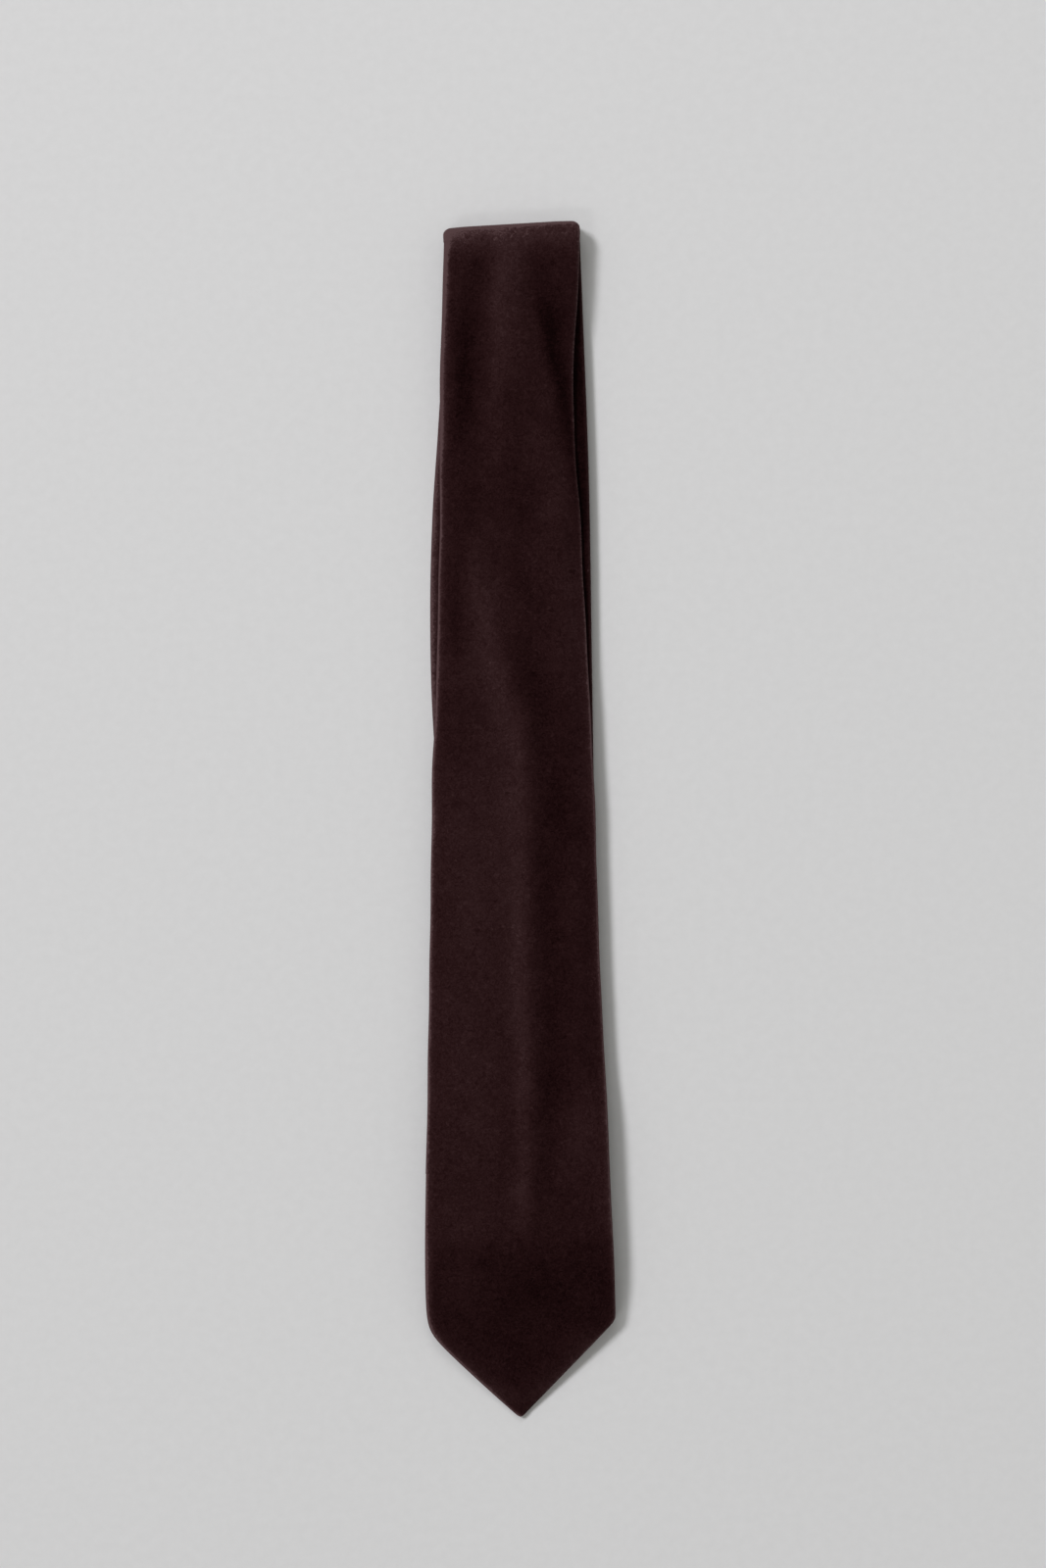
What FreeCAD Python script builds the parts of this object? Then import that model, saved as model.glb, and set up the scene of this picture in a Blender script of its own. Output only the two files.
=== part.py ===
"""Lined velvet necktie lying folded in three, millimetres, +Y towards the upper fold, +Z up.

The strip is a flat tube of velvet around an interlining. From the top down it lies as front panel (face up),
middle panel (face down) and tail panel (face up, on the table). The panels share each fold, a quarter turn each,
and hinge along the fold's outermost line, so the tie can be laid out straight. The front panel's point droops over
the lower fold and bends on a line of its own.
"""
import FreeCAD, Part
import Sketcher
import math
import os

Vec = FreeCAD.Vector
Turn = FreeCAD.Rotation
Place = FreeCAD.Placement

doc = FreeCAD.newDocument("necktie")
sizes = doc.addObject("Spreadsheet::Sheet", "Sizes")
cell_count = 0
VALUE = {}


def size(name, value):
    """Store one driving size under a word."""
    global cell_count
    cell_count += 1
    sizes.set("A%d" % cell_count, name)
    sizes.set("B%d" % cell_count, "%.6g" % value)
    sizes.setAlias("B%d" % cell_count, name)
    VALUE[name] = value


# ---------------------------------------------------------------- driving sizes
size("strip_thick", 3.6)         # velvet, interlining, velvet
size("velvet_wall", 1.2)
size("lining_thick", 1.2)
size("lining_inset", 3.0)        # interlining edge inside the rolled edge
size("slit_wide", 1.9)           # gap between the two turned-in back edges
size("thread_wide", 1.3)
size("thread_thick", 0.6)
size("tipping_thick", 0.6)
size("tack_long", 6.0)
size("tack_wide", 1.2)
size("keeper_wide", 46.0)
size("keeper_deep", 16.0)
size("keeper_wall", 0.45)
size("keeper_drop", 1.05)
size("keeper_hem", 3.0)
size("seam_gap", 0.4)
size("region_size", 400.0)

# Folds: centre of curvature, radius of the strip's middle surface, width and tilt of the fold line.
size("top_x", -3.6)
size("top_y", 245.4)
size("top_z", 6.3)
size("top_mid", 4.5)
size("top_wide", 57.9)
size("top_tilt", 3.4)
size("top_trim", 3.6)            # degrees left clear on each side of the hinge line
size("low_x", 14.5)
size("low_y", -177.0)
size("low_z", 5.0)
size("low_mid", 3.2)
size("low_wide", 38.0)
size("low_tilt", 5.4)
size("low_trim", 6.5)

# Cross-sections along each panel: y, centre x, middle height, width. They run from the first fold to the far end.
FRONT = [
    (245.4, -3.6, 10.8, 57.9),
    (203.0, -5.3, 10.8, 56.4),
    (150.0, -5.0, 10.8, 58.0),
    (74.0, -3.5, 10.8, 63.3),
    (0.0, -3.0, 10.8, 69.6),
    (-100.0, -1.8, 10.8, 75.2),
    (-118.0, -1.5, 11.5, 76.2),
    (-136.0, -1.2, 12.2, 77.3),
    (-183.0, -0.3, 12.2, 80.0),
]
POINT = [
    (-183.4, -0.3, 12.2, 80.0),
    (-214.0, 0.1, 8.0, 81.0),
    (-258.0, 0.4, 1.95, 81.0),
]
MIDDLE = [
    (245.4, -3.6, 1.8, 57.9),
    (240.0, -3.4, 1.8, 57.8),
    (228.0, -2.8, 3.8, 57.6),
    (217.0, -2.3, 5.8, 57.4),
    (148.0, 0.7, 5.8, 56.6),
    (65.0, 4.5, 5.8, 51.8),
    (-138.0, 13.2, 5.8, 39.7),
    (-152.0, 13.7, 7.0, 39.0),
    (-166.0, 14.1, 8.2, 38.4),
    (-177.0, 14.5, 8.2, 38.0),
]
TAIL = [
    (-177.0, 14.5, 1.8, 38.0),
    (-160.0, 12.1, 1.78, 38.5),
    (-60.0, -2.2, 1.78, 41.2),
    (30.0, -15.0, 1.78, 43.4),
    (85.0, -16.1, 1.78, 44.4),
    (159.0, -12.0, 1.78, 46.2),
    (214.0, -8.6, 1.78, 48.0),
]
PANELS = {"front": FRONT, "point": POINT, "middle": MIDDLE, "tail": TAIL}
for panel_name, rows in PANELS.items():
    for row_number, row in enumerate(rows):
        for letter, value in zip(("along", "side", "height", "wide"), row):
            size("%s_%s_%d" % (panel_name, letter, row_number), value)

# Pointed ends: apex of the finished edge and the slopes of its two sides; opening of the lined back.
size("point_tip_x", 0.4)
size("point_tip_y", -254.6)
size("left_slope", 42.3)
size("right_slope", 45.8)
size("point_open_top", -182.0)
size("point_open_side", -214.0)
size("point_open_end", -238.0)
size("point_open_half", 27.0)
size("tail_tip_x", -9.0)
size("tail_tip_y", 212.5)
size("tail_slope", 45.0)
size("tail_open_top", 158.0)
size("tail_open_side", 184.0)
size("tail_open_end", 200.0)
size("tail_open_half", 14.0)
size("keeper_y", -75.0)
size("keeper_x", -2.0)
size("keeper_top", 9.0)
size("first_seam_y", 80.0)
size("second_seam_y", -80.0)
size("table_clear", 30.0)        # depth of the block that trims the tail flat to the table
doc.recompute()


# ---------------------------------------------------------------- building blocks
def bind(obj, prop, text):
    """Tie a property to a formula; words in braces are cells of the sheet."""
    obj.setExpression(prop, text.replace("{", "Sizes.").replace("}", ""))


def plane(body, role):
    """Origin plane of a body by its role."""
    return [o for o in body.Origin.OriginFeatures if o.Role == role][0]


def add_slot(sketch, span, radius, rise):
    """Fully constrained slot: two arcs joined by straight sides; the three sizes are formulas."""
    first = len(sketch.Geometry)
    top, right, bottom, left = range(first, first + 4)
    sketch.addGeometry([
        Part.LineSegment(Vec(-5, 1, 0), Vec(5, 1, 0)),
        Part.ArcOfCircle(Part.Circle(Vec(5, 0, 0), Vec(0, 0, 1), 1), -math.pi / 2, math.pi / 2),
        Part.LineSegment(Vec(5, -1, 0), Vec(-5, -1, 0)),
        Part.ArcOfCircle(Part.Circle(Vec(-5, 0, 0), Vec(0, 0, 1), 1), math.pi / 2, 3 * math.pi / 2),
    ], False)
    sketch.addConstraint([
        Sketcher.Constraint("Tangent", top, 2, right, 2),
        Sketcher.Constraint("Tangent", right, 1, bottom, 1),
        Sketcher.Constraint("Tangent", bottom, 2, left, 2),
        Sketcher.Constraint("Tangent", left, 1, top, 1),
        Sketcher.Constraint("Symmetric", left, 3, right, 3, -2),
        Sketcher.Constraint("Horizontal", top),
    ])
    for kind, refs, text in (
        ("DistanceX", (left, 3, right, 3, 10.0), span),
        ("Radius", (right, 1.0), radius),
        ("DistanceY", (-1, 1, right, 3, 0.0), rise),
    ):
        number = sketch.addConstraint(Sketcher.Constraint(kind, *refs))
        bind(sketch, "Constraints[%d]" % number, text)


def cross_section(body, panel, row, wide, thick, lift, fold):
    """Slot across a panel at one of its rows, turned with the fold line where the panel meets a fold."""
    cell = lambda word: "{%s_%s_%d}" % (panel, word, row)
    sketch = body.newObject("Sketcher::SketchObject", "%s_cut_%d" % (body.Name, row))
    sketch.AttachmentSupport = (plane(body, "XZ_Plane"), [""])
    sketch.MapMode = "FlatFace"
    sketch.AttachmentOffset = Place(Vec(0, 0, 0), Turn(Vec(0, 1, 0), 1.0 if fold else 0.0))
    if fold:
        bind(sketch, "AttachmentOffset.Rotation.Angle", "{%s_tilt}" % fold[0])
    bind(sketch, "AttachmentOffset.Base.x", cell("side"))
    bind(sketch, "AttachmentOffset.Base.y", "%s + (%s)" % (cell("height"), lift))
    bind(sketch, "AttachmentOffset.Base.z", "-" + cell("along"))
    full = wide.replace("WIDE", cell("wide"))
    add_slot(sketch, "%s - (%s)" % (full, thick), "(%s) / 2" % thick, "0")
    return sketch


# Folds a panel runs into: its row there, the fold, and +1 over or -1 under the fold's centre.
PANEL_FOLDS = {
    "front": {0: ("top", 1)},
    "point": {},
    "middle": {0: ("top", -1), len(MIDDLE) - 1: ("low", 1)},
    "tail": {0: ("low", -1)},
}


def panel_solid(name, panel, wide, thick, lift="0", curl=True):
    """Loft along a panel; with curl it also carries its quarter turn of each fold it runs into."""
    body = doc.addObject("PartDesign::Body", name)
    folds = PANEL_FOLDS[panel]
    cuts = [cross_section(body, panel, row, wide, thick, lift, folds.get(row)) for row in range(len(PANELS[panel]))]
    loft = body.newObject("PartDesign::AdditiveLoft", name + "_loft")
    loft.Profile = (cuts[0], [""])
    loft.Sections = [(cut, [""]) for cut in cuts[1:]]
    loft.Ruled = True
    if curl:
        for fold, side in folds.values():
            arc = arc_feature(body, name + "_arc_" + fold, fold, side, wide, thick)
            bind(arc, "Angle", "90 - {%s_trim}" % fold)
    return body


def arc_feature(body, name, fold, side, wide, thick):
    """Revolved slot that starts in the vertical plane through a fold's centre."""
    sketch = body.newObject("Sketcher::SketchObject", name + "_profile")
    sketch.AttachmentSupport = (plane(body, "XZ_Plane"), [""])
    sketch.MapMode = "FlatFace"
    sketch.AttachmentOffset = Place(Vec(0, 0, 0), Turn(Vec(0, 1, 0), 1.0))
    bind(sketch, "AttachmentOffset.Rotation.Angle", "{%s_tilt}" % fold)
    bind(sketch, "AttachmentOffset.Base.x", "{%s_x}" % fold)
    bind(sketch, "AttachmentOffset.Base.y", "{%s_z}" % fold)
    bind(sketch, "AttachmentOffset.Base.z", "-{%s_y}" % fold)
    full = wide.replace("WIDE", "{%s_wide}" % fold)
    rise = ("" if side > 0 else "-") + "{%s_mid}" % fold
    add_slot(sketch, "%s - (%s)" % (full, thick), "(%s) / 2" % thick, rise)
    arc = body.newObject("PartDesign::Revolution", name)
    arc.Profile = (sketch, [""])
    arc.ReferenceAxis = (sketch, ["H_Axis"])
    arc.Reversed = (side > 0) == (fold == "top")
    return arc


def outline_pad(name, points, z_low, z_high):
    """Vertical prism over a closed plan outline whose corners are pairs of formulas."""
    body = doc.addObject("PartDesign::Body", name)
    sketch = body.newObject("Sketcher::SketchObject", name + "_outline")
    sketch.AttachmentSupport = (plane(body, "XY_Plane"), [""])
    sketch.MapMode = "FlatFace"
    sketch.AttachmentOffset = Place(Vec(0, 0, z_low), Turn())
    count = len(points)
    for k in range(count):
        angle = [2 * math.pi * (k + step) / count for step in (0, 1)]
        sketch.addGeometry(Part.LineSegment(*[Vec(99 * math.cos(a), 99 * math.sin(a), 0) for a in angle]))
    for k in range(count):
        sketch.addConstraint(Sketcher.Constraint("Coincident", k, 2, (k + 1) % count, 1))
    for k, corner in enumerate(points):
        for kind, text in zip(("DistanceX", "DistanceY"), corner):
            start = sketch.Geometry[k].StartPoint
            value = start.x if kind == "DistanceX" else start.y
            number = sketch.addConstraint(Sketcher.Constraint(kind, -1, 1, k, 1, value))
            bind(sketch, "Constraints[%d]" % number, text)
    pad = body.newObject("PartDesign::Pad", name + "_pad")
    pad.Profile = (sketch, [""])
    pad.Length = z_high - z_low
    return body


def combine(kind, name, base, tool):
    """Boolean of two objects: Cut or Common."""
    made = doc.addObject("Part::" + kind, name)
    made.Base = base
    made.Tool = tool
    return made


def slope_rise(angle, reach=60):
    """Formula for the height gained along a sloping edge over a plan distance."""
    return "%g * tan({%s})" % (reach, angle)


def end_outline(name, panel, inset):
    """Plan area a pointed end may fill: everything inside the finished edge, less an inset."""
    x, y = "{%s_tip_x}" % panel, "{%s_tip_y}" % panel
    if panel == "point":
        y = "%s + 1.36 * (%s)" % (y, inset)
        left, right = slope_rise("left_slope"), slope_rise("right_slope")
        corners = [(x + " - 60", "260"), (x + " - 60", "%s + %s" % (y, left)), (x, y),
                   (x + " + 60", "%s + %s" % (y, right)), (x + " + 60", "260")]
    else:
        y = "%s - 1.41 * (%s)" % (y, inset)
        side = slope_rise("tail_slope")
        corners = [(x + " + 60", "-210"), (x + " + 60", "%s - %s" % (y, side)), (x, y),
                   (x + " - 60", "%s - %s" % (y, side)), (x + " - 60", "-210")]
    return outline_pad(name, corners, -5, 25)


def pointed(name, panel, wide, thick, inset, lift="0", curl=True):
    """Panel solid trimmed to its pointed end."""
    solid = panel_solid(name + "_run", panel, wide, thick, lift, curl)
    return combine("Common", name, solid, end_outline(name + "_end", panel, inset))


def back_opening(name, panel, play):
    """Kite-shaped opening in the back wall behind the point."""
    cell = lambda word: "{%s_open_%s}" % (panel, word)
    x = "{%s_tip_x}" % panel
    sign = 1 if panel == "point" else -1
    half = "(%s - %g)" % (cell("half"), play)
    corners = [(x, "%s - %g" % (cell("top"), sign * 1.6 * play)),
               ("%s - %d * %s" % (x, sign, half), cell("side")),
               (x, "%s + %g" % (cell("end"), sign * 1.6 * play)),
               ("%s + %d * %s" % (x, sign, half), cell("side"))]
    return outline_pad(name, corners, -5, 25)


WALL_IN = "WIDE - 2 * {velvet_wall}"
LINING_IN = "WIDE - 2 * {lining_inset}"
THREAD_LIFT = "({lining_thick} + {thread_thick}) / 2"
WALL_LIFT = "({lining_thick} + {velvet_wall}) / 2"
SLIT_THICK = "{velvet_wall} + 0.1"


def hollow_panel(name, panel, back):
    """Velvet tube of one panel, slit along the centre back; back is -1 or +1, the side it faces."""
    outer = panel_solid(name + "_outer", panel, "WIDE", "{strip_thick}")
    cavity = panel_solid(name + "_cavity", panel, WALL_IN, "{lining_thick}")
    tube = combine("Cut", name + "_tube", outer, cavity)
    return combine("Cut", name, tube, back_slit(name + "_slit", panel, back))


def back_slit(name, panel, back):
    """Gap between the two turned-in back edges."""
    side = "-" if back < 0 else ""
    return panel_solid(name, panel, "{slit_wide}", SLIT_THICK, side + WALL_LIFT, curl=False)


def hollow_end(name, panel):
    """Velvet tube with a closed pointed end and a lined opening in its back, which faces down."""
    outer = pointed(name + "_outer", panel, "WIDE", "{strip_thick}", "0")
    cavity = pointed(name + "_cavity", panel, WALL_IN, "{lining_thick}", "{velvet_wall}")
    tube = combine("Cut", name + "_tube", outer, cavity)
    window = combine(
        "Common", name + "_window",
        panel_solid(name + "_back_wall", panel, "WIDE", "{velvet_wall} + 0.02", "-" + WALL_LIFT, curl=False),
        back_opening(name + "_kite", panel, 0.0))
    return combine("Cut", name, tube, window)


def seam_run(name, past):
    """Plan strip holding the tail's centre-back seam, from the fold to near the top of its back opening."""
    end = "{tail_open_top} + %g" % past
    corners = [("60", "-210"), ("60", end), ("-60", end), ("-60", "-210")]
    return outline_pad(name, corners, -5, 25)


def slip_stitch(name, panel, back):
    """Thread along the centre back, lying on the interlining it catches."""
    side = "-" if back < 0 else ""
    return panel_solid(name, panel, "{thread_wide}", "{thread_thick}", side + THREAD_LIFT, curl=False)


def bar_tack(name, panel, lift):
    """Close-wound bar of thread across the seam at the top of the back opening."""
    body = doc.addObject("PartDesign::Body", name)
    sketch = body.newObject("Sketcher::SketchObject", name + "_section")
    sketch.AttachmentSupport = (plane(body, "XZ_Plane"), [""])
    sketch.MapMode = "FlatFace"
    bind(sketch, "AttachmentOffset.Base.x", "{%s_tip_x}" % panel)
    bind(sketch, "AttachmentOffset.Base.y", lift)
    sign = "+" if panel == "point" else "-"
    bind(sketch, "AttachmentOffset.Base.z", "-({%s_open_top} %s 1.5)" % (panel, sign))
    add_slot(sketch, "{tack_long} - {thread_thick}", "{thread_thick} / 2", "0")
    pad = body.newObject("PartDesign::Pad", name + "_pad")
    pad.Profile = (sketch, [""])
    bind(pad, "Length", "{tack_wide}")
    pad.Midplane = True
    return body


def tipping(name, panel):
    """Satin lining seen through the back opening, lying against the interlining."""
    plate = panel_solid(name + "_plate", panel, WALL_IN, "{tipping_thick}",
                        "-({lining_thick} + {tipping_thick}) / 2", curl=False)
    return combine("Common", name, plate, back_opening(name + "_area", panel, 0.1))


def hem_stitch(name, panel):
    """Thread that sews the tipping to the hem, just inside the two finished sides of the opening."""
    x, side, end, half = ["{%s_%s}" % (panel, word) for word in ("tip_x", "open_side", "open_end", "open_half")]
    sign = 1 if panel == "point" else -1
    path = []
    for scale in (0.94, 0.89):
        leg = [("%s - %g * %s" % (x, sign * scale, half), side),
               (x, "%s + %g * (%s - %s)" % (side, scale, end, side)),
               ("%s + %g * %s" % (x, sign * scale, half), side)]
        path += leg[::-1] if path else leg
    band = outline_pad(name + "_band", path, -5, 25)
    layer = panel_solid(name + "_layer", panel, WALL_IN, "0.4",
                        "-({lining_thick} / 2 + {tipping_thick} + 0.2)", curl=False)
    return combine("Common", name, layer, band)


def keeper_loop():
    """Flat band across the back of the front panel that holds the tail."""
    body = doc.addObject("PartDesign::Body", "keeper_loop")
    sketch = body.newObject("Sketcher::SketchObject", "keeper_profile")
    sketch.AttachmentSupport = (plane(body, "XZ_Plane"), [""])
    sketch.MapMode = "FlatFace"
    bind(sketch, "AttachmentOffset.Base.x", "{keeper_x}")
    bind(sketch, "AttachmentOffset.Base.y", "{keeper_top}")
    bind(sketch, "AttachmentOffset.Base.z", "-{keeper_y}")
    half, drop, wall, hem = "{keeper_wide} / 2", "{keeper_drop}", "{keeper_wall}", "{keeper_hem}"
    inner_half, inner_drop = "(%s - %s)" % (half, hem), "(%s - %s)" % (drop, wall)
    corners = [("-" + half, "0"), ("-" + half, "-" + drop), (half, "-" + drop), (half, "0"),
               (inner_half, "0"), (inner_half, "-" + inner_drop),
               ("-" + inner_half, "-" + inner_drop), ("-" + inner_half, "0")]
    guess = [(-23, 0), (-23, -1), (23, -1), (23, 0), (20, 0), (20, -0.6), (-20, -0.6), (-20, 0)]
    count = len(corners)
    for k in range(count):
        sketch.addGeometry(Part.LineSegment(Vec(*guess[k], 0), Vec(*guess[(k + 1) % count], 0)))
    for k in range(count):
        sketch.addConstraint(Sketcher.Constraint("Coincident", k, 2, (k + 1) % count, 1))
        for kind, text, value in zip(("DistanceX", "DistanceY"), corners[k], guess[k]):
            number = sketch.addConstraint(Sketcher.Constraint(kind, -1, 1, k, 1, float(value)))
            bind(sketch, "Constraints[%d]" % number, text)
    pad = body.newObject("PartDesign::Pad", "keeper_pad")
    pad.Profile = (sketch, [""])
    bind(pad, "Length", "{keeper_deep}")
    pad.Midplane = True
    return body


def table_block(name):
    """Block whose top face is the table, under the whole tail."""
    block = doc.addObject("Part::Box", name)
    bind(block, "Length", "{region_size}")
    bind(block, "Width", "{region_size} * 2")
    bind(block, "Height", "{table_clear}")
    bind(block, "Placement.Base.x", "-{region_size} / 2")
    bind(block, "Placement.Base.y", "-{region_size}")
    bind(block, "Placement.Base.z", "-{table_clear}")
    return block


def keeper_stitch(name, side):
    """Row of thread closing one end of the keeper loop against the velvet."""
    bar = doc.addObject("Part::Box", name)
    bind(bar, "Length", "0.4")
    bind(bar, "Width", "{keeper_deep} - 2")
    bind(bar, "Height", "0.6")
    shift = "{keeper_wide} / 2" if side > 0 else "-{keeper_wide} / 2 - 0.4"
    bind(bar, "Placement.Base.x", "{keeper_x} + %s" % shift)
    bind(bar, "Placement.Base.y", "{keeper_y} - {keeper_deep} / 2 + 1")
    bind(bar, "Placement.Base.z", "{keeper_top} - 0.6")
    return bar


def bias_block(name, seam, shift, deep):
    """Tall block with two faces on the bias; shift and deep place it along the strip."""
    block = doc.addObject("Part::Box", name)
    bind(block, "Length", "{region_size}")
    bind(block, "Width", deep)
    block.Height = 40
    block.Placement = Place(Vec(0, 0, -10), Turn(Vec(0, 0, 1), 45))
    bind(block, "Placement.Base.x", "-({region_size} / 2) * cos(45) - (%s) * sin(45)" % shift)
    bind(block, "Placement.Base.y", "{%s} - ({region_size} / 2) * sin(45) + (%s) * cos(45)" % (seam, shift))
    return block


def pieced(panel_tube, seam, upper, lower, stitch):
    """Divide a velvet tube at a seam on the bias into two shells and the row of seam stitches."""
    above = bias_block(upper + "_side", seam, "{seam_gap} / 2", "{region_size}")
    below = bias_block(lower + "_side", seam, "-{region_size} - {seam_gap} / 2", "{region_size}")
    between = bias_block(stitch + "_line", seam, "-{seam_gap} / 2", "{seam_gap}")
    return [combine("Common", upper, panel_tube, above),
            combine("Common", lower, panel_tube, below),
            combine("Common", stitch, panel_tube, between)]


# ---------------------------------------------------------------- the tie
pieces = []

# Front panel: blade face up, back towards the table, up to the line its point bends on.
front_tack = bar_tack("front_bar_tack", "point", "12.2 - {strip_thick} / 2 + {thread_thick} / 2")
front_tube = hollow_panel("front_tube", "front", -1)
pieces.append(combine("Cut", "front_blade_shell", front_tube, front_tack))
pieces.append(front_tack)
pieces.append(panel_solid("front_interlining", "front", LINING_IN, "{lining_thick}"))
pieces.append(slip_stitch("front_slip_stitch", "front", -1))
pieces.append(keeper_loop())
pieces.append(keeper_stitch("keeper_stitch_left", -1))
pieces.append(keeper_stitch("keeper_stitch_right", 1))

# Front point: the drooping end of the blade, its back opening lined.
pieces.append(hollow_end("front_point_shell", "point"))
pieces.append(pointed("front_point_interlining", "point", LINING_IN, "{lining_thick}", "{lining_inset}"))
pieces.append(tipping("front_tipping", "point"))
pieces.append(hem_stitch("front_hem_stitch", "point"))

# Middle panel: face down, its seam on the bias joins the front length to the neck length.
middle_tube = hollow_panel("middle_tube", "middle", 1)
pieces += pieced(middle_tube, "first_seam_y", "front_upper_shell", "neck_shell", "front_neck_seam")
pieces.append(panel_solid("middle_interlining", "middle", LINING_IN, "{lining_thick}"))
pieces.append(slip_stitch("middle_slip_stitch", "middle", 1))

# Tail panel: face up and pressed flat to the table, its seam joins the neck length to the tail blade.
tail_tack = bar_tack("tail_bar_tack", "tail", "{thread_thick} / 2")
tail_end = hollow_end("tail_end", "tail")
tail_slit = combine("Common", "tail_slit", back_slit("tail_slit_run", "tail", -1), seam_run("tail_slit_length", 3))
tail_open = combine("Cut", "tail_open", tail_end, tail_slit)
tail_flat = combine("Cut", "tail_flat", tail_open, table_block("table_block"))
tail_tube = combine("Cut", "tail_tube", tail_flat, tail_tack)
pieces += pieced(tail_tube, "second_seam_y", "tail_blade_shell", "neck_end_shell", "neck_tail_seam")
pieces.append(tail_tack)
pieces.append(pointed("tail_interlining", "tail", LINING_IN, "{lining_thick}", "{lining_inset}"))
pieces.append(tipping("tail_tipping", "tail"))
pieces.append(combine("Common", "tail_slip_stitch", slip_stitch("tail_thread_run", "tail", -1),
                      seam_run("tail_thread_length", -0.5)))
pieces.append(hem_stitch("tail_hem_stitch", "tail"))

doc.recompute()

# ---------------------------------------------------------------- check and export
for obj in doc.Objects:
    if "Invalid" in obj.State or "Error" in obj.State:
        raise RuntimeError("%s did not build: %s" % (obj.Name, obj.State))
os.makedirs("parts", exist_ok=True)
for piece in pieces:
    name = piece.Label
    shape = piece.Shape
    if shape.isNull() or not shape.isValid() or shape.Volume <= 0:
        raise RuntimeError("%s has no sound shape" % name)
    shape.exportStep("parts/%s.step" % name)
    box = shape.BoundBox
    print("%-30s %d solid  %9.2f mm3  x %.1f..%.1f  y %.1f..%.1f  z %.2f..%.2f" % (
        name, len(shape.Solids), shape.Volume, box.XMin, box.XMax, box.YMin, box.YMax, box.ZMin, box.ZMax))
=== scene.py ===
"""Looks of a lined velvet necktie lying folded in three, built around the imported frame.

The model is in metres in the frame's axes: +Y to the upper fold, +Z up, origin under the middle of the tie.
The sizes below and the rows of the strip are in millimetres.
The velvet is one open sheet wrapped round the interlining. It runs from the front point over the front panel
(face up), round the upper fold, along the middle panel (face down), round the lower fold and along the tail
panel (face up), and is divided where a body of the frame begins or a seam joins two lengths.
"""
import math

import bpy
import numpy as np
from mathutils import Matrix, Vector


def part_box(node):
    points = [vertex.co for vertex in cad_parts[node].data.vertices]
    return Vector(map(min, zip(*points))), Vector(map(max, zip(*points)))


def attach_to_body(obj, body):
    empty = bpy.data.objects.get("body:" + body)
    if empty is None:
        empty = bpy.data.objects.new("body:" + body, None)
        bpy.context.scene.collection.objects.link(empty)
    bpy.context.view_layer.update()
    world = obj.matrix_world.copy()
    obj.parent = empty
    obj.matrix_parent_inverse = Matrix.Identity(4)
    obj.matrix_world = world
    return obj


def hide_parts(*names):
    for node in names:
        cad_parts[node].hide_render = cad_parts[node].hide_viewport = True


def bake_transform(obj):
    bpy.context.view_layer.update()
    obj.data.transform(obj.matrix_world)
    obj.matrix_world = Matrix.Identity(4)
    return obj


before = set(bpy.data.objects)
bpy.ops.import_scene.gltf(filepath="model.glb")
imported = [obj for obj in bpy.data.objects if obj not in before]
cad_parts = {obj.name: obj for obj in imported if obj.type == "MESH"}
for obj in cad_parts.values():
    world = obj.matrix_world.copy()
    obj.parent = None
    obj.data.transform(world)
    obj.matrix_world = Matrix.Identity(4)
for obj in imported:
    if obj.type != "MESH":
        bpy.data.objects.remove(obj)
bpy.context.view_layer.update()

MM = 0.001

# ---------------------------------------------------------------- sizes, in millimetres
THICK = 3.6                  # velvet, interlining, velvet
SHOULDER_DROP = 0.95         # how far the face falls towards the rolled edges
SHOULDER_WIDE = 9.0          # width beside each edge over which it falls
SAG = 1.15                   # how far the front panel's edges sink between the folds
POINT_SAG = 1.6              # the same beside the point
SAG_WIDE = 13.0              # width beside each edge that takes part in the sag
BACK_PAINTED_SHADE = 0.35            # painted shade on the middle panel's back, for the front panel's shadow over it
FLAP_OVER = 3.0              # how far the upper back flap laps past the centre
FLAP_UNDER = 5.0             # how far the under flap runs beneath it
FLAP_SINK = 0.75             # how deep it lies there
HEM_ROLL = 0.35              # radius of the hem's turn
HEM_RETURN = 3.5             # how far the hem runs back under its flap
ROW_STEP = 2.0               # between cross-sections
FACE_POINTS = 44             # points across the face, each flap and each rolled edge
FLAP_POINTS = 14
ROLL_POINTS = 7
FOLD_ROWS = 26               # cross-sections round each fold
TAIL_HEIGHT = 1.8            # of the tail panel's middle layer
FLOOR_GAP = 0.04             # the lowest cloth stands just clear of the surface

# Folds: centre of curvature, radius of the middle layer, half-width, tilt of the fold line, the side it
# bulges to and how much further it reaches there than a plain half circle.
TOP_FOLD = {"x": -3.6, "y": 245.4, "z": 7.05, "mid": 5.25, "half": 28.95, "tilt": math.radians(3.4),
            "out": 1, "reach": -0.2}
LOW_FOLD = {"x": 14.5, "y": -177.0, "z": 5.0, "mid": 3.2, "half": 19.0, "tilt": math.radians(5.4),
            "out": -1, "reach": 0.0}
FOLD_CORNER = 2.4            # rounding of the folds' ends

# Pointed ends: where the two sloping sides would meet, their slopes, and the softness of the side corners.
POINT_TIP = (0.0, -256.0)
POINT_SLOPES = (math.radians(42.8), math.radians(46.8))
POINT_CORNERS = (6.4, 1.2)
TAIL_TIP = (-9.0, 212.5)
TAIL_SLOPES = (math.radians(45.0), math.radians(45.0))
TAIL_CORNERS = (3.0, 3.0)
TIP_SOFT = 1.7               # rounding of both tips
TIP_WIDE = 9.0               # the strip thins towards a tip from where it is this wide
TIP_STEPS = (0.02, 0.15, 0.45, 0.9, 1.6, 2.5, 3.6, 5.0)     # rows close to a tip, by distance from it
TIP_REACH = 6.5              # distance at which even spacing of the rows begins
POINT_TOP = -150.0           # y where the point's velvet begins
DROOP_Y = -190.2             # y where the point begins to droop

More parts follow.
